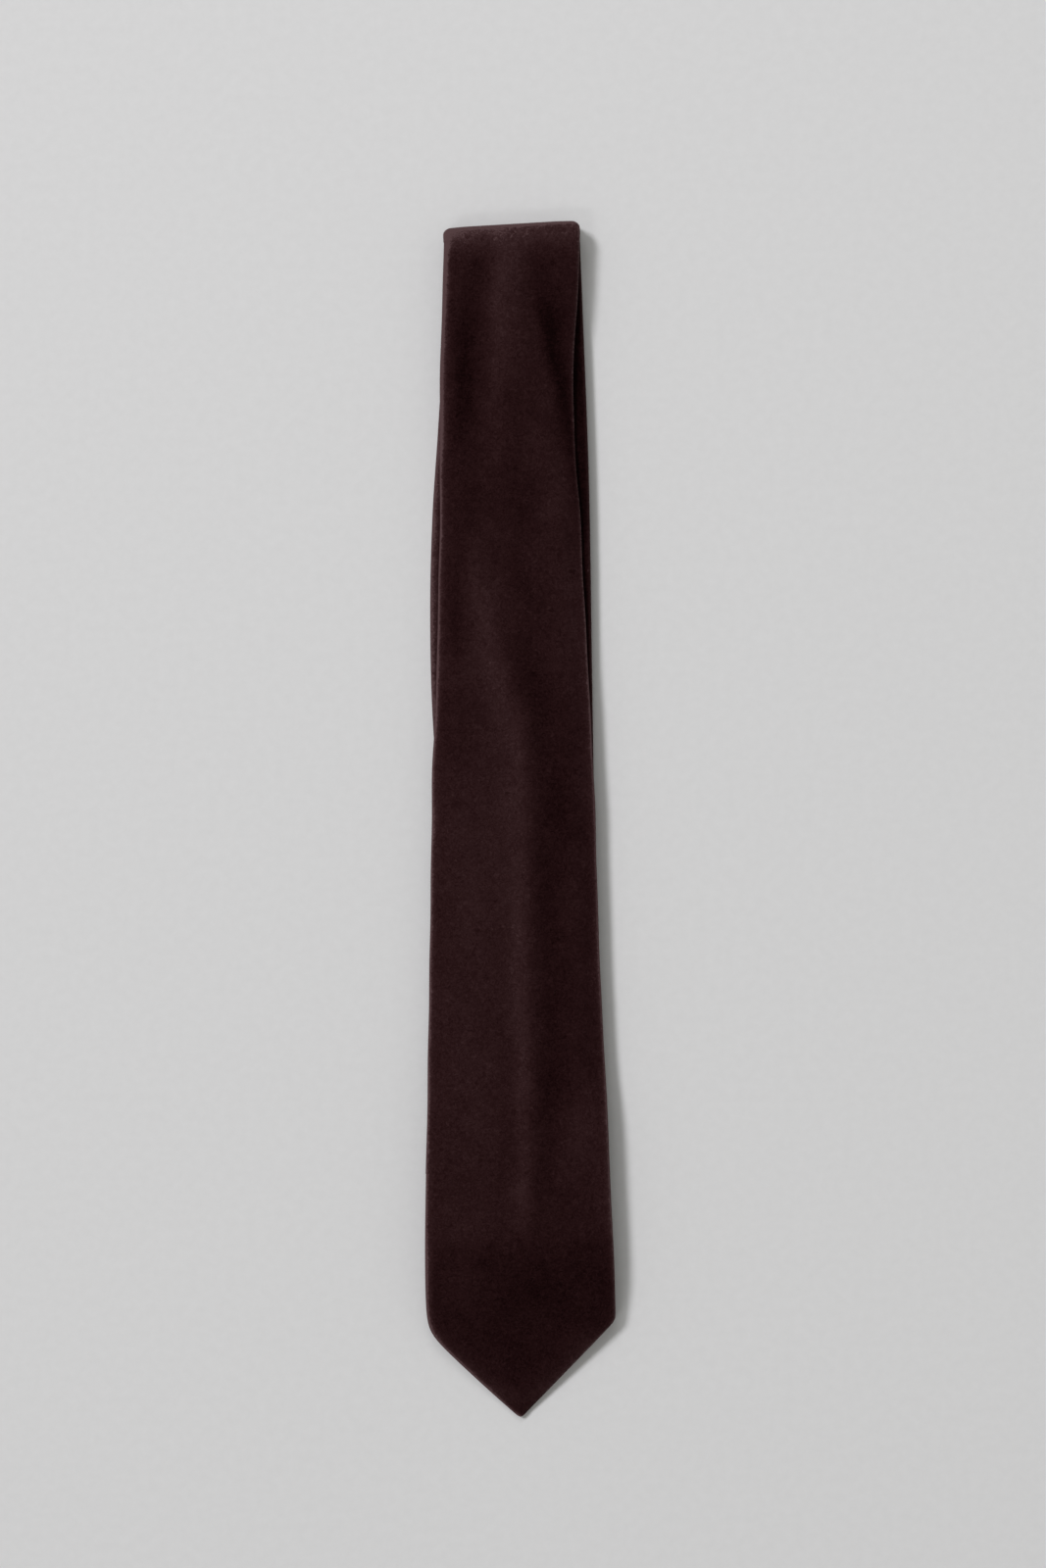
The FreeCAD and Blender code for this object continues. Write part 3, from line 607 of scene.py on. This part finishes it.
def build_strip():
    """Velvet pieces by part name with their flat sizes, all rows, and their points.

    Shading runs on from one piece to the next.
    """
    rows = strip_rows()
    grid = np.array([row_points(row) for row in rows])
    shades = np.array([row_tone_and_painted_light(row, points) for row, points in zip(rows, grid)])
    grid *= MM
    new = [i for i in range(len(rows)) if i == 0 or np.abs(grid[i] - grid[i - 1]).max() > 1e-7]
    normals = np.zeros_like(grid)
    normals[new] = grid_normals(grid[new])
    for i in sorted(set(range(len(rows))) - set(new)):     # rows that repeat the one before, where parts meet
        normals[i] = normals[i - 1]
    made = {}
    for part in dict.fromkeys(row.part for row in rows):
        chosen = [i for i, row in enumerate(rows) if row.part == part]
        points, facing = grid[chosen], normals[chosen]
        count, columns = points.shape[:2]
        piece = make_object("velvet_" + part, points.reshape(-1, 3), grid_faces(count, columns),
                            facing.reshape(-1, 3))
        paint(piece, shades[chosen].ravel())
        middle = points[:, columns // 2]
        length = np.linalg.norm(np.diff(middle, axis=0), axis=1).sum()
        wide = np.linalg.norm(np.diff(points, axis=1), axis=2).sum(1).max()
        area = sum(polygon.area for polygon in piece.data.polygons)
        made[part] = (piece, float(wide), float(length), float(area))
    return made, rows, grid


def capsule(start, end, radius, bulge_axis, lift, sides=8, rings=7):
    """Stitch of thread that arches from start to end, as points and faces."""
    start, end, up = np.array(start), np.array(end), np.array(bulge_axis, float)
    direction = end - start
    direction /= np.linalg.norm(direction)
    side = np.cross(direction, up)
    side /= np.linalg.norm(side)
    points = []
    for i in range(rings):
        t = i / (rings - 1)
        centre = start + (end - start) * t + up * lift * math.sin(math.pi * t)
        size = radius * math.sqrt(max(0.04, 1 - (2 * t - 1) ** 4))
        for k in range(sides):
            angle = 2 * math.pi * k / sides
            points.append(centre + (side * math.cos(angle) + up * math.sin(angle)) * size)
    return points, grid_faces(rings, sides, closed=True) + end_caps(rings, sides)


def stitches(name, spans, radius, up, lift):
    """One object holding many stitches; spans are (start, end) pairs in metres."""
    points, faces = [], []
    for start, end in spans:
        more_points, more_faces = capsule(start, end, radius, up, lift)
        faces += [tuple(i + len(points) for i in face) for face in more_faces]
        points += more_points
    return make_object(name, points, faces)


def row_at(part, y):
    """The row of a part nearest to y."""
    chosen = [row for row in rows if row.part == part]
    return chosen[int(np.abs(np.array([row.centre[1] for row in chosen]) - y).argmin())]


def seam_spans(part, first, last):
    """Short slanting stitches along the upper flap's hem of a part."""
    spans = []
    for y in spaced(first, last, STITCH_PACE)[:-1]:
        row = row_at(part, y)
        base = row.centre - row.normal * (THICK / 2 + 0.12) + row.across * (FLAP_OVER - 0.25)
        over = row.across * 1.3
        spans.append(((base - over * 0.35) * MM, (base + np.array([0, STITCH_LONG / 2, 0]) + over) * MM))
    return spans


# ---------------------------------------------------------------- materials
class Look:
    """A material in the making: its nodes, its shader's inputs and the object's own coordinates."""

    def __init__(self, name, base, rough):
        self.made = bpy.data.materials.new(name)
        self.made.use_nodes = True
        self.nodes, self.links = self.made.node_tree.nodes, self.made.node_tree.links
        self.inputs = self.nodes["Principled BSDF"].inputs
        self.place = self.nodes.new("ShaderNodeTexCoord").outputs["Object"]
        self.set({"Base Color": (*base, 1), "Roughness": rough, "Specular IOR Level": 0.2})

    def set(self, values):
        """Plain values of the shader's inputs."""
        for name, value in values.items():
            self.inputs[name].default_value = value

    def noise(self, scale, detail, rough, stretch=(1, 1, 1), twist=0.0):
        """Noise texture; stretch scales the axes first and twist bends its shapes."""
        mapping = self.nodes.new("ShaderNodeMapping")
        mapping.inputs["Scale"].default_value = stretch
        self.links.new(self.place, mapping.inputs["Vector"])
        texture = self.nodes.new("ShaderNodeTexNoise")
        texture.inputs["Scale"].default_value = scale
        texture.inputs["Detail"].default_value = detail
        texture.inputs["Roughness"].default_value = rough
        texture.inputs["Distortion"].default_value = twist
        self.links.new(mapping.outputs["Vector"], texture.inputs["Vector"])
        return texture.outputs["Fac"]

    def sum_of(self, *terms, offset=0.0):
        """Weighted sum of (output, weight) terms plus an offset."""
        total = None
        for output, weight in terms:
            added = self.nodes.new("ShaderNodeMath")
            added.operation = "MULTIPLY_ADD"
            added.inputs[1].default_value = weight
            added.inputs[2].default_value = offset
            self.links.new(output, added.inputs[0])
            if total is not None:
                self.links.new(total, added.inputs[2])
            total = added.outputs["Value"]
        return total

    def colour(self, source, stops):
        """Base colour from a source through (position, colour) stops."""
        ramp = self.nodes.new("ShaderNodeValToRGB")
        elements = ramp.color_ramp.elements
        while len(elements) < len(stops):
            elements.new(0.5)
        for element, (position, colour) in zip(elements, stops):
            element.position = position
            element.color = (*colour, 1)
        self.links.new(source, ramp.inputs["Fac"])
        self.links.new(ramp.outputs["Color"], self.inputs["Base Color"])

    def bump(self, source, strength, distance):
        """Roughness of the surface from a source; distance in metres."""
        bump = self.nodes.new("ShaderNodeBump")
        bump.inputs["Strength"].default_value = strength
        bump.inputs["Distance"].default_value = distance
        self.links.new(source, bump.inputs["Height"])
        self.links.new(bump.outputs["Normal"], self.inputs["Normal"])


def velvet_material():
    """Dark wine cut-pile velvet: deep red tones, lighter and darker after the painted light and shade at its
    vertices.
    """
    look = Look("velvet", (0.020, 0.007, 0.008), 1.0)
    look.set({"Specular IOR Level": 0.04, "Sheen Weight": 0.12, "Sheen Roughness": 0.30,
              "Sheen Tint": (0.85, 0.52, 0.54, 1)})
    # Painted light and shade stored at each vertex.
    lean = look.nodes.new("ShaderNodeAttribute")
    lean.attribute_name = "tone_and_painted_light"
    pile = look.noise(620, 4.0, 0.72, twist=1.4)
    brushed = look.noise(70, 4.0, 0.62, (1.0, 0.6, 1.0))
    light = look.sum_of((lean.outputs["Fac"], 0.5), (pile, 1.05), (brushed, 0.26), offset=-0.655)
    # From the darkest painted shade up to the painted highlight colour of the rims and the fold.
    look.colour(light, [(0.12, (0.0045, 0.0008, 0.0010)), (0.30, (0.0115, 0.0030, 0.0034)),
                        (0.50, (0.0205, 0.0068, 0.0074)), (0.68, (0.0310, 0.0125, 0.0134)),
                        (0.86, (0.0460, 0.0215, 0.0230)), (1.00, (0.0950, 0.0540, 0.0570))])
    look.bump(pile, 0.45, 0.0006)
    return look.made


def satin_material():
    """Fine satin tipping with long floats of thread."""
    look = Look("satin", (0.030, 0.010, 0.013), 0.42)
    look.set({"Sheen Weight": 0.2, "Sheen Roughness": 0.3, "Anisotropic": 0.5})
    floats = look.noise(900, 2.0, 0.5, (3.2, 0.35, 1.0))
    look.colour(floats, [(0.35, (0.020, 0.0065, 0.0085)), (0.65, (0.046, 0.016, 0.020))])
    look.bump(floats, 0.3, 0.0002)
    return look.made


def wool_material():
    """Brushed wool interlining."""
    look = Look("wool_interlining", (0.55, 0.52, 0.46), 0.95)
    fibres = look.noise(700, 5.0, 0.75)
    look.colour(fibres, [(0.3, (0.42, 0.39, 0.34)), (0.7, (0.62, 0.59, 0.53))])
    look.bump(fibres, 0.6, 0.0005)
    return look.made


def thread_material():
    """Twisted sewing thread."""
    look = Look("thread", (0.055, 0.020, 0.024), 0.6)
    twist = look.noise(2600, 1.0, 0.5, (1.0, 2.2, 1.0))
    look.colour(twist, [(0.35, (0.030, 0.010, 0.012)), (0.65, (0.090, 0.036, 0.040))])
    look.bump(twist, 0.5, 0.0001)
    return look.made


def floor_material():
    """Pale matte surface with the faintest unevenness."""
    look = Look("floor", (0.78, 0.77, 0.765), 0.9)
    cloudy = look.noise(240, 3.0, 0.6)
    look.colour(cloudy, [(0.3, (0.764, 0.761, 0.772)), (0.7, (0.788, 0.785, 0.797))])
    look.bump(cloudy, 0.12, 0.0004)
    return look.made


VELVET, SATIN, WOOL, THREAD = velvet_material(), satin_material(), wool_material(), thread_material()


def wear(piece, material):
    """Gives a piece one material."""
    piece.data.materials.clear()
    piece.data.materials.append(material)


def attach(piece, material, node, body, replaces=True):
    """Dresses a piece and ties it to the frame's body of that name; for a blend between two bodies it only
    bakes the piece in place.
    """
    wear(piece, material)
    if replaces:
        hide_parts(node)
    if isinstance(body, str):
        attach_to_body(piece, body)
    else:
        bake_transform(piece)


# ---------------------------------------------------------------- velvet pieces
# Blends: two bodies, and the places where the first and the second have the cloth to themselves.
top_z, low_z = TOP_FOLD["z"] * MM, LOW_FOLD["z"] * MM
top_half, low_half = (TOP_FOLD["mid"] - THICK / 2) * MM, (LOW_FOLD["mid"] - THICK / 2) * MM
POINT_BLEND = ("front_point", "front_panel", (0, -0.206, 0.012), (0, -0.174, 0.012))
TOP_BLEND = ("front_panel", "middle_panel", (0, 0.25, top_z + top_half), (0, 0.25, top_z - top_half))
LOW_BLEND = ("middle_panel", "tail_panel", (0, -0.18, low_z + low_half), (0, -0.18, low_z - low_half))

VELVET_PARTS = {
    # part: (CAD node, whether it replaces that node, body or blend, wool inside it)
    "point": ("front_point_shell", True, POINT_BLEND, "wool_point"),
    "front": ("front_blade_shell", True, "front_panel", "wool_front"),
    "top_fold": ("front_blade_shell", False, TOP_BLEND, "wool_top_fold"),
    "front_upper": ("front_upper_shell", True, "middle_panel", "wool_middle"),
    "neck": ("neck_shell", True, "middle_panel", "wool_middle"),
    "low_fold": ("neck_shell", False, LOW_BLEND, "wool_low_fold"),
    "neck_end": ("neck_end_shell", True, "tail_panel", "wool_tail"),
    "tail": ("tail_blade_shell", True, "tail_panel", "wool_tail"),
}
pieces, rows, grid = build_strip()
for part, (node, replaces, body, wool) in VELVET_PARTS.items():
    piece, wide, length, area = pieces[part]
    attach(piece, VELVET, node, body, replaces)


# ---------------------------------------------------------------- linings and loop
def tipping(name, part, opening, toward, node, body):
    """Satin lining behind a back opening, tucked under the hems."""
    reach = [row for row in rows if row.part == part and row.tip >= 1
             and toward * row.centre[1] > toward * opening["top"] - 4]
    t = np.linspace(-1, 1, 25)
    points = []
    for row in reach:
        half = min(opening_half(row.centre[1], opening, toward) + TUCK, row.left - 3.5, row.right - 3.5)
        if half < 2:
            continue
        puff = 0.10 * waves(t * half, row.centre[1], 5, 17.0)
        depth = THICK / 2 - 0.95 + 0.25 * (1 - t * t) + puff
        points.append(row.centre + np.outer(half * t, row.across) - np.outer(depth, row.normal))
    points = np.array(points) * MM
    count, columns = points.shape[:2]
    piece = make_object(name, points.reshape(-1, 3), grid_faces(count, columns))
    piece.data.flip_normals()
    attach(piece, SATIN, node, body)


tipping("satin_front_tipping", "point", POINT_OPENING, -1, "front_tipping", POINT_BLEND)
tipping("satin_tail_tipping", "tail", TAIL_OPENING, 1, "tail_tipping", "tail_panel")


def keeper_band(edges=15, columns=56):
    """Flat velvet loop across the back of the front panel."""
    low, high = np.array(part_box("keeper_loop"))
    centre, half = (low + high) / 2, (high - low) / 2
    points = []
    for edge in np.linspace(-1, 1, edges):
        tuck = 0.10 * MM * (1 - abs(edge)) ** 0.5
        for k in range(columns):
            angle = 2 * math.pi * (k + 0.5) / columns
            cos, sin = math.cos(angle), math.sin(angle)
            x = centre[0] + half[0] * math.copysign(abs(cos) ** 0.25, cos)
            y = centre[1] + half[1] * edge * (1 + 0.02 * math.cos(3 * angle))
            z = centre[2] + (half[2] - 0.12 * MM + tuck) * math.copysign(abs(sin) ** 0.35, sin)
            points.append((x, y, z))
    piece = make_object("velvet_keeper_loop", points, grid_faces(edges, columns, closed=True))
    solid = piece.modifiers.new("band", "SOLIDIFY")
    solid.thickness = KEEPER_THICK * MM
    solid.offset = -1
    bpy.context.view_layer.objects.active = piece
    with bpy.context.temp_override(object=piece, active_object=piece):
        bpy.ops.object.modifier_apply(modifier=solid.name)
    paint(piece, np.full(len(piece.data.vertices), 0.95))
    attach(piece, VELVET, "keeper_loop", "front_panel")


keeper_band()


# ---------------------------------------------------------------- stitching
BACKWARD = (0, 0, -1)        # out of the back of a panel that lies face up


def add_thread(name, spans, up, node, body, radius=0.28, lift=0.18):
    """A CAD node's stitches as one piece; radius and lift in millimetres."""
    piece = stitches(name, spans, radius * MM, up, lift * MM)
    attach(piece, THREAD, node, body)


def keeper_stitches(node, side):
    """Stitches that hold one end of the keeper loop to the velvet."""
    low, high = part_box("keeper_loop")
    x = (high[0] if side > 0 else low[0]) - side * 0.8 * MM
    spans = []
    for y in np.linspace(low[1] + 1.5 * MM, high[1] - 1.5 * MM, 9):
        start = (x - side * 0.8 * MM, y, low[2] - 0.03 * MM)
        spans.append((start, (x + side * 1.1 * MM, y + 0.6 * MM, low[2] + 0.4 * MM)))
    add_thread("thread_" + node, spans, BACKWARD, node, "front_panel", radius=0.22, lift=0.10)


keeper_stitches("keeper_stitch_left", -1)
keeper_stitches("keeper_stitch_right", 1)


def above_table(spans):
    """Stitches with their ends raised clear of the surface."""
    lowest = [-9, -9, THREAD_FLOOR * MM]
    return [(np.maximum(start, lowest), np.maximum(end, lowest)) for start, end in spans]


front_spans = seam_spans("front", -148, 238)
middle_spans = seam_spans("front_upper", 236, FIRST_SEAM_Y + 4) + seam_spans("neck", FIRST_SEAM_Y - 6, -172)
tail_spans = (seam_spans("neck_end", -172, SECOND_SEAM_Y - 6)
              + seam_spans("tail", SECOND_SEAM_Y + 4, TAIL_OPENING["top"] - 4))
add_thread("thread_front_slip_stitch", front_spans, BACKWARD, "front_slip_stitch", "front_panel")
add_thread("thread_middle_slip_stitch", middle_spans, (0, 0, 1), "middle_slip_stitch", "middle_panel")
add_thread("thread_tail_slip_stitch", above_table(tail_spans), BACKWARD, "tail_slip_stitch", "tail_panel",
           lift=0.02)


def bar_tack(name, node, body, proud):
    """Close-wound bar: a core crossed by tight turns of thread, standing proud of the back."""
    low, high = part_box(node)
    y, z = (low[1] + high[1]) / 2, (low[2] + high[2]) / 2 - proud * MM
    spans = [((low[0], y, z), (high[0], y, z))]
    for x in np.arange(low[0] + 0.4 * MM, high[0] - 0.3 * MM, 0.42 * MM):
        spans.append(((x, y - 0.65 * MM, z), (x + 0.1 * MM, y + 0.65 * MM, z)))
    add_thread(name, spans, BACKWARD, node, body, radius=0.23, lift=0.05)


bar_tack("thread_front_bar_tack", "front_bar_tack", "front_panel", 0.15)
bar_tack("thread_tail_bar_tack", "tail_bar_tack", "tail_panel", 0.0)


def hem_spans(part, opening, toward):
    """Fell stitches joining the tipping to the hem along the two finished sides."""
    spans = []
    for y in spaced(opening["side"], opening["end"] - toward * 3, FELL_PACE):
        row = row_at(part, y)
        half = opening_half(y, opening, toward)
        for side in (-1, 1):
            base = row.centre + row.across * side * (half + 0.2) - row.normal * (THICK / 2 + 0.02)
            inner = base - row.across * side * 1.1 + row.normal * 0.45
            spans.append((base * MM, inner * MM))
    return spans


add_thread("thread_front_hem_stitch", hem_spans("point", POINT_OPENING, -1), BACKWARD, "front_hem_stitch",
           "front_point", radius=0.2, lift=0.1)
add_thread("thread_tail_hem_stitch", above_table(hem_spans("tail", TAIL_OPENING, 1)), BACKWARD,
           "tail_hem_stitch", "tail_panel", radius=0.2, lift=0.05)


def bias_seam(name, part, node, body):
    """Stitches sunk in the join of two lengths, round the strip along the seam."""
    index = [row.part for row in rows].index(part)
    line, beside = grid[index], grid[index + 1]
    centre = line.mean(0)
    spans = []
    for j in range(8, len(line) - 8, 2):
        reach = (beside[j] - line[j]) * 0.28
        inward = (centre - line[j]) * np.array([0, 0, 0.06])
        spans.append((line[j] - reach + inward, line[j] + reach + inward))
    add_thread(name, spans, (0.1, 0, 1), node, body, radius=0.18, lift=0.0)


bias_seam("thread_front_neck_seam", "neck", "front_neck_seam", "middle_panel")
bias_seam("thread_neck_tail_seam", "tail", "neck_tail_seam", "tail_panel")


# ---------------------------------------------------------------- interlining
def wool_section(row):
    """Closed cross-section of the interlining, rounded at both edges, in space."""
    left, right = (max(0.2, side - WOOL_INSET * row.tip) for side in (row.left, row.right))
    half = WOOL_HALF * row.tip
    section = [(x, half) for x in np.linspace(-left, right, WOOL_SIDE)]
    section += [(right + half * math.sin(a), half * math.cos(a)) for a in np.linspace(0.5, 2.6, 4)]
    section += [(x, -half) for x in np.linspace(right, -left, WOOL_SIDE)]
    section += [(-left - half * math.sin(a), -half * math.cos(a)) for a in np.linspace(0.5, 2.6, 4)]
    across, out = np.array(section).T
    return row.centre + np.outer(across, row.across) + np.outer(out - edge_sag(row, across), row.normal)


WOOL_PARTS = {
    # name: (parts of the strip, CAD node, whether it replaces that node, body or blend)
    "wool_point": (["point"], "front_point_interlining", True, POINT_BLEND),
    "wool_front": (["front"], "front_interlining", True, "front_panel"),
    "wool_top_fold": (["top_fold"], "front_interlining", False, TOP_BLEND),
    "wool_middle": (["front_upper", "neck"], "middle_interlining", True, "middle_panel"),
    "wool_low_fold": (["low_fold"], "middle_interlining", False, LOW_BLEND),
    "wool_tail": (["neck_end", "tail"], "tail_interlining", True, "tail_panel"),
}
for name, (parts, node, replaces, body) in WOOL_PARTS.items():
    chosen = [row for row in rows if row.part in parts and row.tip > 0.6]
    solid = np.array([wool_section(row) for row in chosen]) * MM
    count, columns = solid.shape[:2]
    wool = make_object(name, solid.reshape(-1, 3),
                       grid_faces(count, columns, closed=True) + end_caps(count, columns))
    attach(wool, WOOL, node, body, replaces)
    length = np.linalg.norm(np.diff(solid.mean(1), axis=0), axis=1).sum()
    wide = max(row.left + row.right - 2 * WOOL_INSET for row in chosen) * MM


# ---------------------------------------------------------------- stage, light and camera
def add_area(name, place, size, power, colour=(1, 1, 1)):
    """Square lamp aimed at the middle of the tie."""
    lamp = bpy.data.lights.new(name, "AREA")
    lamp.energy, lamp.size, lamp.color = power, size, colour
    made = bpy.data.objects.new(name, lamp)
    bpy.context.scene.collection.objects.link(made)
    made.location = place
    x, y, z = place
    made.rotation_euler = (math.atan2(math.hypot(x, y), z), 0, math.atan2(-y, -x) - math.pi / 2)


FLOOR_HALF = 3.0             # metres, as are the sizes of the lamps and the view
corners = [(x * FLOOR_HALF, y * FLOOR_HALF, 0) for x, y in ((-1, -1), (1, -1), (1, 1), (-1, 1))]
floor = make_object("floor", corners, [(0, 1, 2, 3)])
wear(floor, floor_material())

add_area("key", (-4.4, 3.1, 7.0), 1.9, 376, (0.98, 0.98, 1.0))
add_area("second", (-2.6, -3.4, 5.0), 1.1, 30)
add_area("top fill", (-0.3, 2.0, 2.4), 1.4, 15)

world = bpy.data.worlds.new("studio")
world.use_nodes = True
background = world.node_tree.nodes["Background"]
background.inputs["Color"].default_value = (1.0, 1.0, 0.93, 1)
background.inputs["Strength"].default_value = 0.265
scene = bpy.context.scene
scene.world = world
scene.view_settings.view_transform = "Standard"

VIEW_LONG = 0.6667           # what the long side of the view covers at the tie's height
TIE_HEIGHT = 0.003           # height at which that holds
VIEW_MIDDLE = (0.0011, 0.0148)       # x and y in the middle of the view
LENS, SENSOR = 85.0, 36.0
camera_data = bpy.data.cameras.new("camera")
camera_data.lens, camera_data.sensor_width = LENS, SENSOR
camera = bpy.data.objects.new("camera", camera_data)
scene.collection.objects.link(camera)
camera.location = (*VIEW_MIDDLE, VIEW_LONG * LENS / SENSOR + TIE_HEIGHT)
scene.camera = camera
